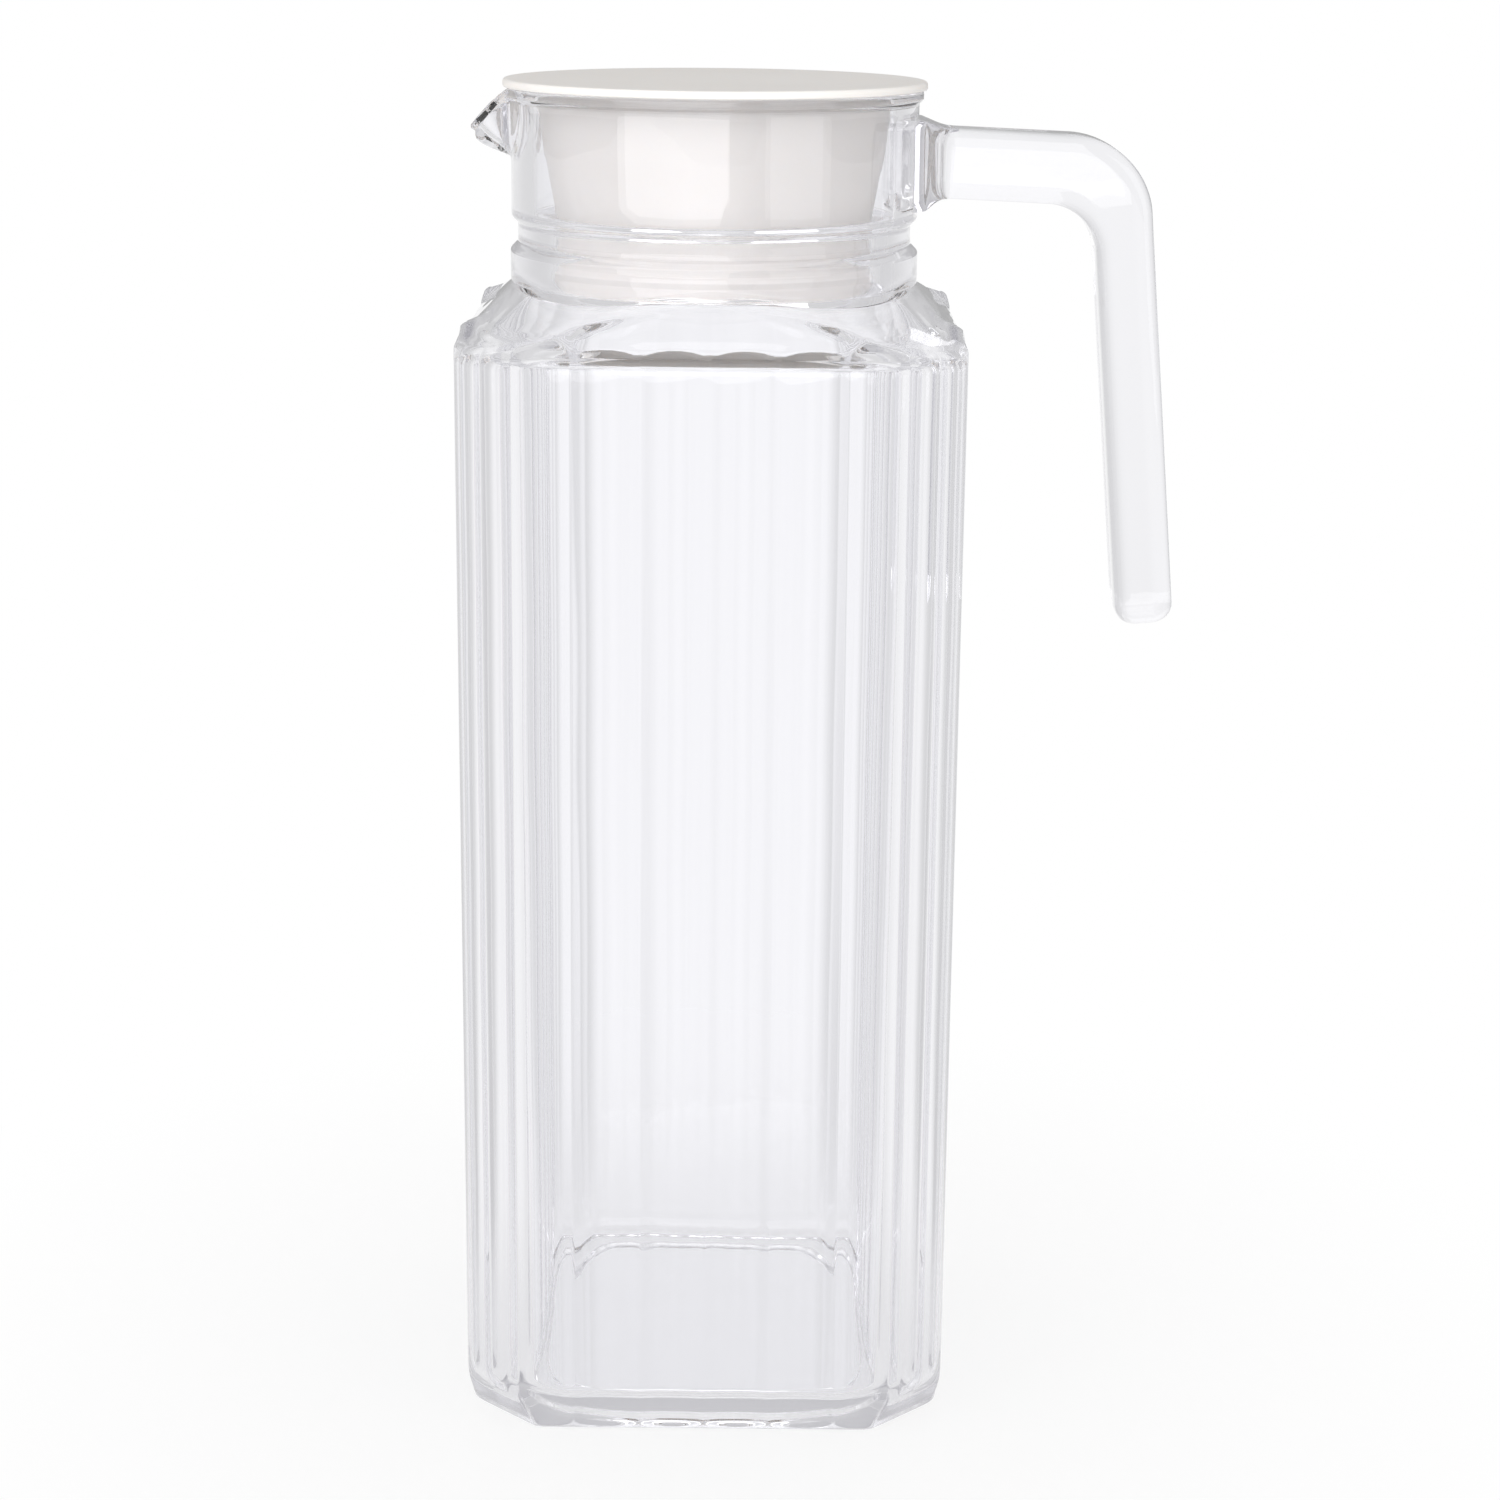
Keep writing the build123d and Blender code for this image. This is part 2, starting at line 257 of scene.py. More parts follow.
def outline_columns():
    """One quarter after the other, the columns of the jug's mesh, which run up the flutes.

    Each has a place on the body's outline, the way straight out from there, and the depth of its
    flute there.
    """
    flat = HALF_BODY - CORNER_RADIUS
    side = [k * FACE_FLUTE_WIDTH for k in FACE_RIDGES]
    ridges = [(HALF_BODY, y) for y in [-flat, *side, flat]]
    for turn in turns(90, CORNER_FLUTES, first=1):
        x, y = CORNER_RADIUS * math.cos(turn), CORNER_RADIUS * math.sin(turn)
        ridges.append((flat + x, flat + y))
    places, outwards, depths = [], [], []
    for k, (start, end) in enumerate(zip(ridges, ridges[1:])):
        on_face = k <= len(side)
        count = FACE_COLUMNS if on_face else CORNER_COLUMNS
        depth = FACE_FLUTE_DEPTH if on_face else CORNER_FLUTE_DEPTH
        for step in range(count):
            t = 0.5 - 0.5 * math.cos(math.pi * step / count)
            place = blend(np.array(start), np.array(end), t)
            corner = np.maximum(place - flat, 0)
            curved = corner.any() and not on_face
            places.append(place)
            outwards.append(corner / np.linalg.norm(corner) if curved else np.array([1.0, 0.0]))
            depths.append(4 * depth * t * (1 - t))
    quarter = np.array([[0.0, 1.0], [-1.0, 0.0]])
    turned = [np.linalg.matrix_power(quarter, q) for q in range(4)]
    places = np.concatenate([np.array(places) @ m for m in turned])
    outwards = np.concatenate([np.array(outwards) @ m for m in turned])
    return places, outwards, np.tile(depths, 4)


PLACE, OUTWARD, DEPTH = outline_columns()
ANGLE = np.arctan2(PLACE[:, 1], PLACE[:, 0])
RAY = np.stack([np.cos(ANGLE), np.sin(ANGLE)], axis=1)
COLUMNS = len(PLACE)


def row(xy, height):
    return np.column_stack([xy, np.broadcast_to(height, len(xy))])


def ring(reach, height):
    """One row of points that far from the axis: one number, or one for each column."""
    return row(RAY * np.broadcast_to(reach, COLUMNS)[:, None], height)


def square_radius(half, corner):
    """How far a rounded square reaches in each column's direction."""
    c, s = np.abs(RAY[:, 0]), np.abs(RAY[:, 1])
    flat = half - corner
    reach = half / np.maximum(c, s)
    on_corner = np.minimum(c, s) * reach > flat
    along = flat * (c + s)
    arc = along + np.sqrt(np.maximum(along ** 2 - 2 * flat ** 2 + corner ** 2, 0))
    return np.where(on_corner, arc, reach)


def diagonal_reach(xy):
    """How far out a place is, measured along the diagonal of its quarter."""
    return (np.abs(xy[:, 0]) + np.abs(xy[:, 1])) / DIAGONAL


def taper(height):
    return BODY_TAPER * (1 - min(height, SHOULDER_HEIGHT) / SHOULDER_HEIGHT)


def outline_at(height, inset):
    """The fluted outline, let in by inset where that is more than the flute's own depth."""
    depth = soft_max(DEPTH, RIDGE_FLAT + inset, RIDGE_SOFTNESS)
    return PLACE - OUTWARD * (depth + taper(height))[:, None]


def cut_corner_facets(xy, height):
    """Takes the foot's corner facets off one row."""
    reach = diagonal_reach(xy)
    corner = (HALF_BASE - CORNER_RADIUS) * DIAGONAL + CORNER_RADIUS
    limit = corner - FACET_INSET + height / math.tan(FACET_SLOPE)
    excess = reach - soft_min(reach, limit, FACET_SOFTNESS)
    return xy - np.sign(xy) * (excess / DIAGONAL)[:, None]


def corner_share(xy):
    """0 along the middle of a side, 1 where the leaves take over the shoulder's edge."""
    return smooth_step((np.abs(xy).min(axis=1) - CORNER_START) / CORNER_BLEND)


def face_height(xy):
    """The slanted faces of the shoulder."""
    return SHOULDER_HEIGHT + FACE_SLOPE * (HALF_BODY - np.abs(xy).max(axis=1))


def leaf_height(xy):
    """The leaf-shaped facets at the shoulder's corners."""
    return NECK_HEIGHT - LEAF_DROP - LEAF_SLOPE * (diagonal_reach(xy) - LEAF_REACH)


def shoulder_height(xy):
    """The shoulder's height over a place: the lowest of face, leaf and cone."""
    cone = NECK_HEIGHT - CONE_SLOPE * (np.hypot(xy[:, 0], xy[:, 1]) - NECK_BEAD_RADIUS)
    face = face_height(xy) + CORNER_LIFT * corner_share(xy)
    return soft_min(soft_min(face, leaf_height(xy), LEAF_SOFTNESS), cone, CONE_SOFTNESS)


def inner_shoulder_height(xy):
    """The inside of the shoulder, one wall below the slanted faces, with flatter corners."""
    face = face_height(xy) - BODY_WALL * math.hypot(1, FACE_SLOPE)
    leaf = INNER_LEAF_HEIGHT - INNER_LEAF_SLOPE * (diagonal_reach(xy) - INNER_LEAF_REACH)
    return soft_min(face, leaf, INNER_SOFTNESS)


def foot_rows():
    """From the middle of the underside, over the edge of its hollow, out to the heel."""
    rows = []
    edge = cut_corner_facets(outline_at(0, HEEL_INSET), 0)
    hollow = RAY * square_radius(HALF_BASE - FOOT_RING, HOLLOW_CORNER)[:, None]
    for share in (0.04, 0.2, 0.4, 0.6, 0.8, 0.92, 0.975):
        rows.append(row(hollow * share, FOOT_RECESS + HOLLOW_CROWN * (1 - share ** 2)))
    for t in np.linspace(0, 1, 7):
        reach = 1 - HOLLOW_EDGE / 2 + HOLLOW_EDGE * t
        rows.append(row(hollow * reach, FOOT_RECESS * (1 - smooth_step(t))))
    for share in (0.3, 0.65, 0.95):
        rows.append(row(blend(hollow, edge, share), 0.0))
    return rows


def wall_rows():
    """From the heel up the outside of the walls and over the shoulder to the neck."""
    rows = []
    for turn in turns(90, HEEL_ROWS):
        height = HEEL_HEIGHT * (1 - math.cos(turn))
        xy = outline_at(height, HEEL_INSET * (1 - math.sin(turn)))
        rows.append(row(cut_corner_facets(xy, height), height))
    for height in np.linspace(HEEL_HEIGHT, FACET_TOP, FACET_ROWS + 1)[1:]:
        rows.append(row(cut_corner_facets(outline_at(height, 0), height), height))
    corner = corner_share(PLACE)
    edge = soft_min(SHOULDER_HEIGHT + CORNER_LIFT * corner, leaf_height(PLACE), EDGE_SOFTNESS)
    full_turn = EDGE_TURN + CORNER_TURN * corner
    round_start = edge - SHOULDER_ROUND * np.tan(full_turn / 2)
    for share in np.linspace(0, 1, WALL_ROWS + 1)[1:]:
        xy = outline_at(blend(FACET_TOP, SHOULDER_HEIGHT, share), 0)
        rows.append(row(xy, blend(FACET_TOP, round_start, share)))
    for step in range(1, SHOULDER_ROUND_ROWS + 1):
        turn = full_turn * step / SHOULDER_ROUND_ROWS
        xy = outline_at(SHOULDER_HEIGHT, SHOULDER_ROUND * (1 - np.cos(turn)))
        rows.append(row(xy, round_start + SHOULDER_ROUND * np.sin(turn)))
    start, neck = rows[-1][:, :2], RAY * NECK_BEAD_RADIUS
    for share in np.linspace(0, 1, SHOULDER_ROWS + 1)[1:]:
        xy = blend(start, neck, share)
        rows.append(row(xy, shoulder_height(xy)))
    return rows


def rounded_profile(start, corners, end, step):
    """A line from start to end, both (radius, height), in steps of about that length.

    The corners between them are (radius, height, rounding).
    """
    points = [np.array(p[:2], float) for p in (start, *corners, end)]
    line = [points[0]]
    for before, corner, after, (*_, radius) in zip(points, points[1:], points[2:], corners):
        a = (before - corner) / np.linalg.norm(before - corner)
        b = (after - corner) / np.linalg.norm(after - corner)
        half = math.acos(np.clip(a @ b, -1, 1)) / 2
        if half > math.pi / 2 - NEARLY_STRAIGHT:
            line.append(corner)
            continue
        back = radius / math.tan(half)
        centre = corner + (a + b) / np.linalg.norm(a + b) * radius / math.sin(half)
        first, last = corner + a * back - centre, corner + b * back - centre
        turn = math.pi - 2 * half
        sense = np.sign(first[0] * last[1] - first[1] * last[0])
        for k in range(BEND_ROWS + 1):
            bend = sense * turn * k / BEND_ROWS
            c, s = math.cos(bend), math.sin(bend)
            x, y = first[0] * c - first[1] * s, first[0] * s + first[1] * c
            line.append(centre + np.array([x, y]))
    line.append(points[-1])
    full = [line[0]]
    for p, q in zip(line, line[1:]):
        length = np.linalg.norm(q - p)
        if length < SAME_PLACE:
            continue
        pieces = max(1, int(round(length / step)))
        full += [p + (q - p) * (k + 1) / pieces for k in range(pieces)]
    return full


def spout_share(spread):
    """1 on the spout's middle line, falling to 0 on both sides of it."""
    off = np.abs(np.abs(ANGLE) - math.pi)
    return np.exp(-(off / spread) ** 2)


def lip_swell(t):
    """How the outside of the spout swells, from 0 at its root to 1 at the rim."""
    return smooth_step(t * 1.5) ** 0.8


def channel_swell(t):
    return smooth_step(t) ** 1.4


def spout_row(radius, height, length, swell):
    """A row of the collar, pulled out by up to length and down by the droop at the spout."""
    low = RIM_HEIGHT - SPOUT_ROOT_DROP
    t = max(0.0, (height - low) / (RIM_HEIGHT - low))
    reach = radius + length * spout_share(SPOUT_SPREAD) * swell(t)
    return ring(reach, height - SPOUT_DROP * spout_share(SPOUT_DIP_SPREAD) * t ** 0.8)


def neck_rows():
    """Up the outside of the neck and the collar, and over the rim."""
    bead_bottom = NECK_HEIGHT + EDGE_ROUND
    bead_top = bead_bottom + NECK_BEAD_HEIGHT
    groove_top = bead_top + GROOVE_HEIGHT
    rim_bead = RIM_HEIGHT - RIM_BEAD_HEIGHT
    profile = rounded_profile(
        (NECK_BEAD_RADIUS, NECK_HEIGHT),
        [
            (NECK_BEAD_RADIUS - 0.5, NECK_HEIGHT + 0.35, 0.15),
            (NECK_BEAD_RADIUS, bead_bottom, 0.3),
            (NECK_BEAD_RADIUS, bead_top, 1.0),
            (NECK_RADIUS, bead_top + 1.4, 0.7),
            (NECK_RADIUS, groove_top, 0.7),
            (COLLAR_RADIUS, groove_top + 1.2, 1.1),
            (COLLAR_RADIUS, rim_bead - 0.5, 0.8),
            (RIM_BEAD_RADIUS, rim_bead + 0.2, 0.5),
            (RIM_BEAD_RADIUS, RIM_HEIGHT, 0.7),
        ],
        (BORE_RADIUS + 3, RIM_HEIGHT), OUTER_STEP,
    )
    length = SPOUT_REACH - RIM_BEAD_RADIUS
    return [spout_row(radius, height, length, lip_swell) for radius, height in profile[1:]]


def bore_rows():
    """From the rim down the collar's bore, over the ledge and down the throat."""
    profile = rounded_profile(
        (BORE_RADIUS + 2, RIM_HEIGHT),
        [
            (BORE_RADIUS, RIM_HEIGHT, EDGE_ROUND),
            (BORE_RADIUS, LEDGE_TOP, 0.8),
            (THROAT_RADIUS, THROAT_TOP, 0.8),
        ],
        (THROAT_RADIUS, THROAT_BOTTOM + 3), INNER_STEP,
    )
    length = SPOUT_REACH - SPOUT_WALL - BORE_RADIUS - EDGE_ROUND
    return [spout_row(radius, height, length, channel_swell) for radius, height in profile]


def inner_round_rows(start):
    """The rounding between the inner wall and the inner shoulder, from its bottom up."""
    rows = []
    wall = square_radius(HALF_INSIDE, INNER_CORNER)
    for turn in turns(45, INNER_ROUND_ROWS):
        xy = RAY * (wall - INNER_ROUND * (1 - math.cos(turn)))[:, None]
        height = start + INNER_ROUND * math.sin(turn)
        rows.append(row(xy, soft_min(height, inner_shoulder_height(xy), INNER_SOFTNESS)))
    return rows


def inner_wave(height):
    """The soft unevenness of the inner walls, which fades out at the floor and the shoulder."""
    wave = np.sin(height / 13 + 2 * ANGLE) * np.sin(height / 29 + 3 * ANGLE + 1)
    low, high = (height - WAVE_LOW) / WAVE_FADE, (WAVE_HIGH - height) / WAVE_FADE
    return WAVE_DEPTH * wave * smooth_step(low) * smooth_step(high)


def inner_rows():
    """From the rim down the bore and throat, the shoulder and walls to the floor's middle."""
    edge = SHOULDER_HEIGHT - BODY_WALL * math.hypot(1, FACE_SLOPE) + FACE_SLOPE * BODY_WALL
    start = edge - INNER_ROUND * math.tan(math.pi / 8)
    rounding = inner_round_rows(start)
    closed, throat = rounding[-1][:, :2], RAY * THROAT_RADIUS
    rows = bore_rows()
    for t in np.linspace(0, 1, INNER_SHOULDER_ROWS + 1)[:-1]:
        xy = blend(throat, closed, t)
        rows.append(row(xy, inner_shoulder_height(xy) + THROAT_CURL * np.exp(-t * CURL_FADE)))
    rows += rounding[::-1]
    for height in np.linspace(start, FLOOR + INNER_HEEL, INNER_WALL_ROWS + 1)[1:]:
        # The upper rows follow the lower edge of the rounding, and the lower ones are level.
        followed = np.minimum(height, rounding[0][:, 2] - (start - height))
        share = smooth_step((height - FOLLOW_START) / FOLLOW_BLEND)
        reach = square_radius(HALF_INSIDE - taper(height), INNER_CORNER) + inner_wave(height)
        rows.append(ring(reach, blend(height, followed, share)))
    for turn in turns(90, INNER_HEEL_ROWS, first=1):
        inset = INNER_HEEL * (1 - math.cos(turn))
        reach = square_radius(HALF_INSIDE - BODY_TAPER - inset, INNER_CORNER - inset)
        rows.append(ring(reach, FLOOR + INNER_HEEL * (1 - math.sin(turn))))
    edge = rows[-1][:, :2]
    for share in (0.97, 0.9, 0.75, 0.5, 0.25, 0.04):
        rows.append(row(edge * share, FLOOR + FLOOR_CROWN * (1 - share ** 2)))
    return rows


def ray_to_rounded_rectangle(direction, half_wide, half_high, edge):
    """Where a ray from the middle leaves a rounded rectangle."""
    a, b = abs(direction[0]), abs(direction[1])
    reach = min(half_wide / max(a, 1e-9), half_high / max(b, 1e-9))
    corner = np.array([half_wide - edge, half_high - edge])
    if a * reach > corner[0] and b * reach > corner[1]:
        along = a * corner[0] + b * corner[1]
        reach = along + math.sqrt(max(along ** 2 - corner @ corner + edge ** 2, 0))
    return direction * reach


def handle_section(sides, inset, angles):
    """One rounded rectangle of the handle, between its outer and inner side.

    The angles run round it, from the middle of its outer side.
    """
    outer, inner = sides
    centre, height = (outer + inner) / 2, np.linalg.norm(outer - inner)
    up = (outer - inner) / height
    edge = max(HANDLE_EDGE - inset * EDGE_LOSS, LEAST_EDGE)
    points = np.array([
        ray_to_rounded_rectangle(
            np.array([math.sin(angle), math.cos(angle)]),
            HANDLE_HALF_WIDTH - inset, height / 2 - inset, edge,
        )
        for angle in angles
    ])
    return np.column_stack([
        centre[0] + up[0] * points[:, 1], points[:, 0], centre[1] + up[1] * points[:, 1],
    ])


def arm_point(level, x):
    """A point of the arm's top or underside, which falls a little on its way out."""
    return np.array([x, level - ARM_FALL * (x - COLLAR_RADIUS)])


def handle_stations():
    """The outer and inner point of each section, and how far that section is let in."""
    arm_way = np.array([1, -ARM_FALL]) / math.hypot(1, ARM_FALL)
    arm_up = np.array([ARM_FALL, 1]) / math.hypot(1, ARM_FALL)
    limb_way = np.array([math.sin(LIMB_LEAN), -math.cos(LIMB_LEAN)])
    limb_out = np.array([math.cos(LIMB_LEAN), math.sin(LIMB_LEAN)])
    sweep = math.pi / 2 - LIMB_LEAN - math.atan(ARM_FALL)
    radii = np.array([[ELBOW_OUTER], [ELBOW_INNER]])
    root = np.array([arm_point(ARM_TOP, ARM_START), arm_point(ARM_UNDERSIDE, ARM_START)])
    corners = np.array([
        arm_point(ARM_TOP, HANDLE_REACH - math.tan(LIMB_LEAN) * (ARM_TOP - ARM_UNDERSIDE)),
        arm_point(ARM_UNDERSIDE, HANDLE_REACH - LIMB_ACROSS),
    ])
    bend = corners - arm_way * radii * math.tan(sweep / 2)
    centres = bend - arm_up * radii
    stations = [(blend(root, bend, t), 0.0) for t in np.linspace(0, 1, ARM_ROWS + 1)[:-1]]
    for t in np.linspace(0, 1, ELBOW_ROWS):
        turn = arm_up * math.cos(sweep * t) + arm_way * math.sin(sweep * t)
        stations.append((centres + radii * turn, 0.0))
    limb, _ = stations[-1]
    fall = limb[0][1] - (LIMB_END + LIMB_END_ROUND)
    outer_end = limb[0] + limb_way * fall / -limb_way[1]
    end = np.array([outer_end, outer_end - limb_out * LIMB_ACROSS * math.cos(LIMB_LEAN)])
    stations += [(blend(limb, end, t), 0.0) for t in np.linspace(0, 1, LIMB_ROWS + 1)[1:]]
    for turn in turns(90, LIMB_END_ROWS, first=1):
        shift = limb_way * LIMB_END_ROUND * math.sin(turn)
        stations.append((end + shift, LIMB_END_ROUND * (1 - math.cos(turn))))
    return stations


def root_patch(rows, neck):
    """The first and last row and the columns of the collar that the handle's root covers."""
    held = [r for r in neck if abs(rows[r][0, 2] - ARM_MIDDLE) < ROOT_HALF_HEIGHT]
    near = [c for c in range(COLUMNS) if abs(ANGLE[c]) < ROOT_HALF_WIDTH / COLLAR_RADIUS]
    return held[0], held[-1], sorted(near, key=lambda c: ANGLE[c])


def patch_loop(first_row, last_row, columns):
    """The edge of that patch, as point numbers."""
    left, right = columns[0], columns[-1]
    loop = [(last_row, c) for c in columns]
    loop += [(r, right) for r in range(last_row - 1, first_row, -1)]
    loop += [(first_row, c) for c in reversed(columns)]
    loop += [(r, left) for r in range(first_row + 1, last_row)]
    return [r * COLUMNS + c for r, c in loop]


def grow_handle(points, faces, loop):
    """Adds the handle's sections to points and faces, from the loop on the collar outwards."""
    root = np.array([points[n] for n in loop])
    narrow = ROOT_HALF_HEIGHT / ROOT_HALF_WIDTH
    angles = [math.atan2(y * narrow, z - ARM_MIDDLE) for _, y, z in root]
    previous = loop
    for k, (sides, inset) in enumerate(handle_stations()):
        section = handle_section(sides, inset, angles)
        out = (sides[0][0] - COLLAR_RADIUS) / ROOT_LENGTH
        if out < 1:
            flared = np.column_stack([section[:, 0], root[:, 1:]])
            section = blend(section, flared, (1 - smooth_step(out)) ** ROOT_FADE)
            section[:, 0] = np.maximum(section[:, 0], root[:, 0] + ROOT_STEP * (k + 1))
        fresh = range(len(points), len(points) + len(section))
        points += list(section)
        for i in range(len(fresh)):
            j = (i + 1) % len(fresh)
            faces.append((previous[j], previous[i], fresh[i], fresh[j]))
        previous = fresh
    faces.append(tuple(reversed(previous)))


def build_jug():
    """One closed skin of glass: the outside, rim and inside, and the handle on the collar."""
    below, neck = foot_rows() + wall_rows(), neck_rows()
    rows = below + neck + inner_rows()
    neck_numbers = range(len(below), len(below) + len(neck))
    first_row, last_row, columns = root_patch(rows, neck_numbers)
    hole = {(r, c) for r in range(first_row, last_row) for c in columns[:-1]}
    points = list(np.concatenate(rows))
    faces = skin_faces(len(rows), COLUMNS, hole)
    grow_handle(points, faces, patch_loop(first_row, last_row, columns))
    jug = new_object("jug_glass", points, faces, "jug")
    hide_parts("glass_jug")
    return jug


def lid_profile():
    """From the middle of the top round the disc, down the plug's outside and up its inside."""
    inner_foot = PLUG_FOOT - PLUG_WALL
    corners = [
        (LID_RADIUS, LID_TOP, 0.55),
        (LID_RADIUS, RIM_HEIGHT, 0.35),
        (PLUG_TOP, RIM_HEIGHT, 0.4),
        (PLUG_MIDDLE, PLUG_MIDDLE_HEIGHT, 20.0),
        (PLUG_LOW, LEDGE_TOP, 3.0),
        (PLUG_FOOT, THROAT_TOP, 1.0),
    ]
    for rib in (1, 2):
        middle = THROAT_TOP - RIB_SPACING * rib
        corners += [
            (PLUG_FOOT, middle + 1, 0.3),
            (PLUG_FOOT + RIB_OUT, middle, 0.35),
            (PLUG_FOOT, middle - 1, 0.3),
        ]
    corners += [
        (PLUG_FOOT, PLUG_END, 0.5),
        (inner_foot, PLUG_END, 0.5),
        (inner_foot, THROAT_TOP, 1.0),
        (PLUG_LOW - PLUG_WALL, LEDGE_TOP, 3.0),
        (PLUG_MIDDLE - PLUG_WALL, PLUG_MIDDLE_HEIGHT, 20.0),
        (PLUG_TOP - PLUG_WALL, RIM_HEIGHT, 0.8),
    ]
    return rounded_profile((LID_CENTRE, LID_TOP), corners, (LID_CENTRE, RIM_HEIGHT), OUTER_STEP)


def build_lid():
    angles = np.arange(LID_COLUMNS) * 2 * math.pi / LID_COLUMNS
    around = np.column_stack([np.cos(angles), np.sin(angles)])
    rows = [row(around * radius, height) for radius, height in lid_profile()]
    faces = skin_faces(len(rows), LID_COLUMNS, flipped=True)
    piece = new_object("lid_plastic_moulding", np.concatenate(rows), faces, "lid")
    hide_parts("lid")
    return piece


# Materials
DEEP_BOUNCES = 2.5  # mirrorings after which light counts as lost inside the glass


def clear_tree(block, output_kind):
    """Empties the nodes of a material or world and gives it a fresh output."""
    block.use_nodes = True
    tree = block.node_tree
    tree.nodes.clear()
    return tree, tree.nodes.new(output_kind)


def new_material(name):
    material = bpy.data.materials.new(name)
    return material, *clear_tree(material, "ShaderNodeOutputMaterial")


def new_node(tree, kind, values):
    node = tree.nodes.new(kind)
    for socket, value in values.items():
        node.inputs[socket].default_value = value
    return node


def calculate(tree, operation, *values):
    """One step of arithmetic on sockets or plain numbers."""
    node = tree.nodes.new("ShaderNodeMath")
    node.operation = operation
    for k, value in enumerate(values):
        if isinstance(value, bpy.types.NodeSocket):
            tree.links.new(value, node.inputs[k])
        else:
            node.inputs[k].default_value = value
    return node.outputs["Value"]


def map_range(tree, source, source_range, result_range, kind="LINEAR"):
    node = new_node(tree, "ShaderNodeMapRange", {
        "From Min": source_range[0], "From Max": source_range[1],
        "To Min": result_range[0], "To Max": result_range[1],
    })
    node.interpolation_type = kind
    tree.links.new(source, node.inputs["Value"])
    return node.outputs["Result"]


def length_of(tree, place):
    node = tree.nodes.new("ShaderNodeVectorMath")
    node.operation = "LENGTH"
    tree.links.new(place, node.inputs[0])
    return node.outputs["Value"]


def parts_of(tree, place):
    node = tree.nodes.new("ShaderNodeSeparateXYZ")
    tree.links.new(place, node.inputs["Vector"])
    return node.outputs


def mix_shaders(tree, share, first, second):
    node = tree.nodes.new("ShaderNodeMixShader")
    tree.links.new(share, node.inputs["Fac"])
    tree.links.new(first, node.inputs[1])
    tree.links.new(second, node.inputs[2])
    return node.outputs["Shader"]


def noise(tree, scale, detail):
    place = tree.nodes.new("ShaderNodeTexCoord")
    texture = new_node(tree, "ShaderNodeTexNoise", {"Scale": scale, "Detail": detail})
    tree.links.new(place.outputs["Object"], texture.inputs["Vector"])
    return texture.outputs["Fac"]


def uneven(tree, scale, detail, low, high):
    """Noise, spread over a range."""
    return map_range(tree, noise(tree, scale, detail), (0.3, 0.7), (low, high))


def bump(tree, source, strength, distance):
    node = new_node(tree, "ShaderNodeBump", {"Strength": strength, "Distance": distance})
    tree.links.new(source, node.inputs["Height"])
    return node.outputs["Normal"]


def deep_light(tree, path):
    """1 for light that has been mirrored about inside the glass, 0 for all other light."""
    return calculate(tree, "GREATER_THAN", path["Glossy Depth"], DEEP_BOUNCES)


def glass_material():
    """Clear soda glass, faintly grey in its depth, with a pressed surface's unevenness."""
    material, tree, output = new_material("clear_pressed_glass")
    shader = new_node(tree, "ShaderNodeBsdfPrincipled", {
        "Base Color": (0.982, 0.982, 0.998, 1), "Transmission Weight": 1.0, "IOR": 1.52,
    })
    tree.links.new(uneven(tree, 60, 2, 0.0, 0.02), shader.inputs["Roughness"])
    tree.links.new(bump(tree, noise(tree, 45, 1), 0.06, 0.002), shader.inputs["Normal"])
    clear = new_node(tree, "ShaderNodeBsdfTransparent", {"Color": (0.965, 0.965, 0.97, 1)})
    path = tree.nodes.new("ShaderNodeLightPath").outputs
    plain = calculate(tree, "MAXIMUM", path["Is Shadow Ray"], deep_light(tree, path))
    surface = mix_shaders(tree, plain, shader.outputs["BSDF"], clear.outputs["BSDF"])
    tree.links.new(surface, output.inputs["Surface"])
    depth = new_node(tree, "ShaderNodeVolumeAbsorption", {
        "Color": (0.765, 0.76, 0.785, 1), "Density": 20.0,
    })
    tree.links.new(depth.outputs["Volume"], output.inputs["Volume"])
    return material


def plastic_material():
    """Warm white moulded polyethylene, a little waxy, with a fine moulded grain."""
    material, tree, output = new_material("white_moulded_plastic")
    shader = new_node(tree, "ShaderNodeBsdfPrincipled", {
        "Subsurface Weight": 0.25, "Subsurface Radius": (1.0, 0.9, 0.8),
        "Subsurface Scale": 0.002,
    })
    ramp = tree.nodes.new("ShaderNodeValToRGB")
    ramp.color_ramp.elements[0].color = (0.845, 0.81, 0.775, 1)
    ramp.color_ramp.elements[1].color = (0.885, 0.855, 0.825, 1)
    tree.links.new(noise(tree, 35, 3), ramp.inputs["Fac"])
    tree.links.new(ramp.outputs["Color"], shader.inputs["Base Color"])
    tree.links.new(uneven(tree, 900, 2, 0.42, 0.55), shader.inputs["Roughness"])
    tree.links.new(bump(tree, noise(tree, 1800, 2), 0.12, 0.0002), shader.inputs["Normal"])
    tree.links.new(shader.outputs["BSDF"], output.inputs["Surface"])
    return material


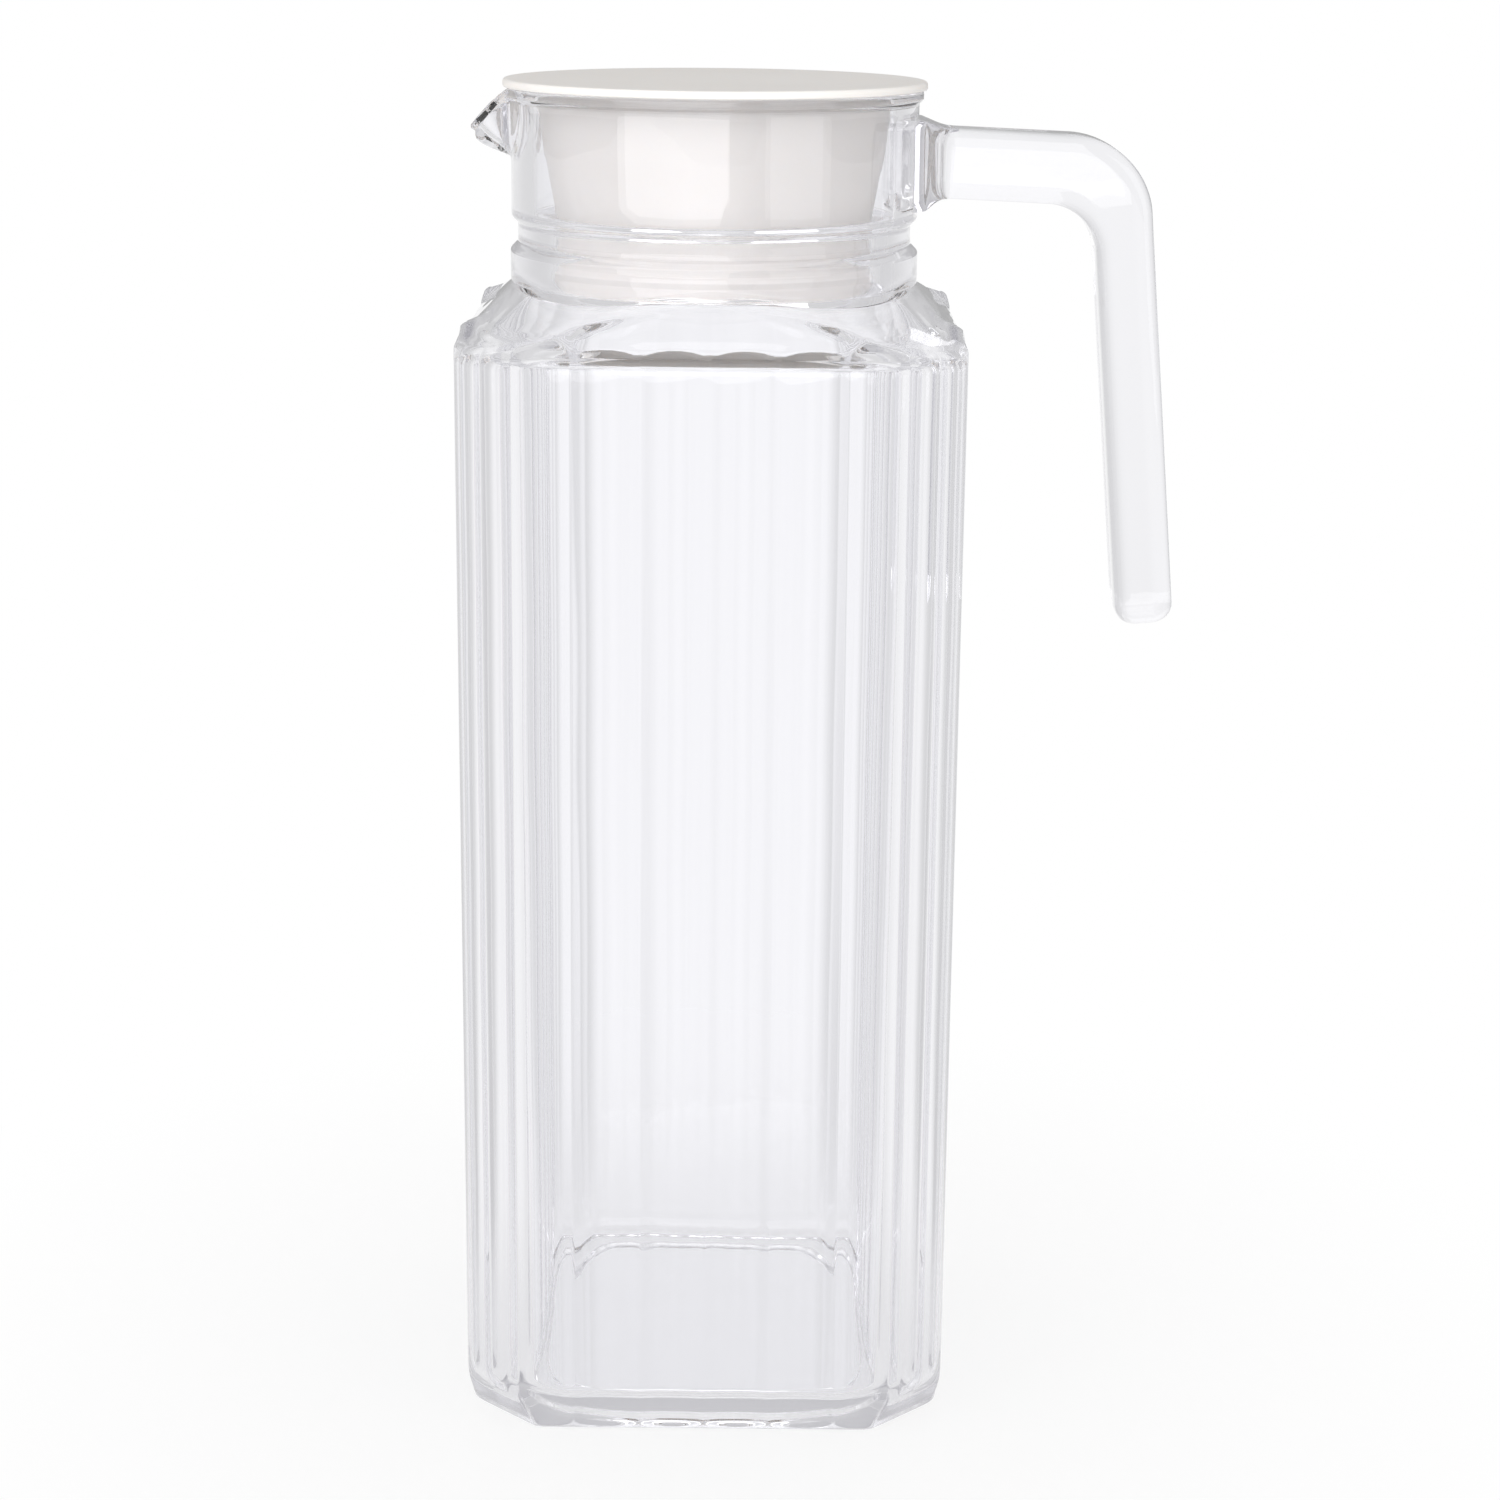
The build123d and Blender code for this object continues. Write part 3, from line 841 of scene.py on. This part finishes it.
# Floor, background and lamps, with their sizes in metres
FLOOR_SIZE = 6.0
FLOOR_GAP = 0.0004  # keeps the floor clear of the foot
GREY_SIDES = 0.26  # how much darker the surroundings get between the four main directions
GREY_FROM, GREY_FULL = 0.04, 0.16  # distances from the axis
REFLECTED = 0.38  # brightness of the room that the glass mirrors
SHADOW_SHARE = 0.25  # of the floor's brightness, near the jug
SHADOW_FULL, SHADOW_END = 0.05, 0.2  # distances from the jug's middle
DEEP_LEVEL = 0.8  # what light sees that has bounced about inside the glass
ROOM_LEVEL = 0.9  # of the room's light from the sides
ROOM_OVERHEAD = 0.62
LAMPS = [  # name, place, aim, side and watts
    ("key", (-0.7, -1.7, 0.85), (0, 0, 0.16), 2.6, 31),
    ("fill", (1.3, -1.1, 0.6), (0, 0, 0.12), 1.2, 4),
]


def four_ways(tree, place):
    """1 straight to the front, back and sides, falling off to 1 - GREY_SIDES on the diagonals."""
    away = map_range(
        tree, length_of(tree, place), (GREY_FROM, GREY_FULL), (0.0, 1.0), "SMOOTHSTEP",
    )
    parts = parts_of(tree, place)
    turn = calculate(tree, "ARCTAN2", parts["Y"], parts["X"])
    wave = calculate(tree, "COSINE", calculate(tree, "MULTIPLY", turn, 4.0))
    wave = calculate(tree, "MULTIPLY", wave, away)
    return calculate(tree, "MULTIPLY_ADD", wave, GREY_SIDES / 2, 1 - GREY_SIDES / 2)


def floor_material():
    """A painted glow: white to the eye, and in the glass darker towards the diagonals, which is
    painted shade. Near the jug the glow gives way to the lit floor, where the jug's own shadow
    falls.
    """
    material, tree, output = new_material("pale_floor")
    path = tree.nodes.new("ShaderNodeLightPath").outputs
    place = tree.nodes.new("ShaderNodeTexCoord").outputs["Object"]
    far = map_range(
        tree, length_of(tree, place), (SHADOW_FULL, SHADOW_END), (1 - SHADOW_SHARE, 1.0),
        "SMOOTHSTEP",
    )
    seen = calculate(tree, "MAXIMUM", path["Is Camera Ray"], path["Is Glossy Ray"])
    seen = calculate(tree, "MAXIMUM", seen, path["Is Transmission Ray"])
    # Painted light: the floor glows plain white to the eye, and in the glass with painted grey
    # shade towards the diagonals.
    brightness = calculate(tree, "MAXIMUM", four_ways(tree, place), path["Is Camera Ray"])
    diffuse = new_node(tree, "ShaderNodeBsdfDiffuse", {"Color": (0.95, 0.95, 0.95, 1)})
    glow = tree.nodes.new("ShaderNodeEmission")
    tree.links.new(brightness, glow.inputs["Color"])
    share = calculate(tree, "MULTIPLY", seen, far)
    surface = mix_shaders(tree, share, diffuse.outputs["BSDF"], glow.outputs["Emission"])
    tree.links.new(surface, output.inputs["Surface"])
    return material


def build_floor():
    half = FLOOR_SIZE / 2
    mesh = bpy.data.meshes.new("studio_floor")
    corners = [(-half, -half), (half, -half), (half, half), (-half, half)]
    mesh.from_pydata([(x, y, -FLOOR_GAP) for x, y in corners], [], [(0, 1, 2, 3)])
    floor = link("studio_floor", mesh)
    mesh.materials.append(floor_material())


def build_world():
    """White behind the jug, greyer towards the diagonals and in what the glass mirrors."""
    world = bpy.data.worlds.new("studio")
    tree, output = clear_tree(world, "ShaderNodeOutputWorld")
    path = tree.nodes.new("ShaderNodeLightPath").outputs
    place = tree.nodes.new("ShaderNodeTexCoord").outputs["Generated"]
    through = calculate(tree, "MULTIPLY", path["Is Transmission Ray"], 1 - REFLECTED)
    level = calculate(tree, "ADD", through, REFLECTED)
    level = calculate(tree, "MULTIPLY", level, four_ways(tree, place))
    deep = calculate(tree, "MULTIPLY", deep_light(tree, path), DEEP_LEVEL)
    level = calculate(tree, "MAXIMUM", level, deep)
    height = parts_of(tree, place)["Z"]
    room = calculate(tree, "MULTIPLY_ADD", height, ROOM_OVERHEAD - ROOM_LEVEL, ROOM_LEVEL)
    diffuse = calculate(tree, "MULTIPLY", path["Is Diffuse Ray"], room)
    level = calculate(tree, "MAXIMUM", level, diffuse)
    level = calculate(tree, "MAXIMUM", level, path["Is Camera Ray"])
    background = tree.nodes.new("ShaderNodeBackground")
    tree.links.new(level, background.inputs["Color"])
    tree.links.new(background.outputs["Background"], output.inputs["Surface"])
    bpy.context.scene.world = world


def lamp(name, place, aim, size, power):
    light = bpy.data.lights.new(name, "AREA")
    light.shape = "SQUARE"
    light.size = size
    light.energy = power
    thing = link(name, light)
    thing.location = place
    thing.rotation_euler = (Vector(aim) - Vector(place)).to_track_quat("-Z", "Y").to_euler()


# Camera, at the place that the outline in the photo gives
CAMERA_PLACE = Vector((7.54, -618.3, 283.65)) * MM
CAMERA_PITCH = math.radians(13.907)
CAMERA_ROLL = math.radians(0.56)
PHOTO_SIDE = 1500.0
FOCAL_PIXELS = 3290.4
AXIS_ABOVE_MIDDLE = 43.6  # pixels
SENSOR_WIDTH = 36.0
NEAR_LIMIT, FAR_LIMIT = 0.01, 50.0


def build_camera():
    data = bpy.data.cameras.new("camera")
    data.sensor_width = SENSOR_WIDTH
    data.lens = FOCAL_PIXELS / PHOTO_SIDE * data.sensor_width
    data.shift_y = -AXIS_ABOVE_MIDDLE / PHOTO_SIDE
    data.clip_start = NEAR_LIMIT
    data.clip_end = FAR_LIMIT
    forward = Vector((0, math.cos(CAMERA_PITCH), -math.sin(CAMERA_PITCH)))
    upright = Vector((0, math.sin(CAMERA_PITCH), math.cos(CAMERA_PITCH)))
    level = Vector((1, 0, 0))
    right = level * math.cos(CAMERA_ROLL) + upright * math.sin(CAMERA_ROLL)
    up = upright * math.cos(CAMERA_ROLL) - level * math.sin(CAMERA_ROLL)
    camera = link("camera", data)
    turn = Matrix((right, up, -forward)).transposed().to_4x4()
    camera.matrix_world = Matrix.Translation(CAMERA_PLACE) @ turn
    bpy.context.scene.camera = camera


build_camera()
build_jug().data.materials.append(glass_material())
build_lid().data.materials.append(plastic_material())
build_floor()
build_world()
for values in LAMPS:
    lamp(*values)
bpy.context.scene.view_settings.view_transform = "Standard"
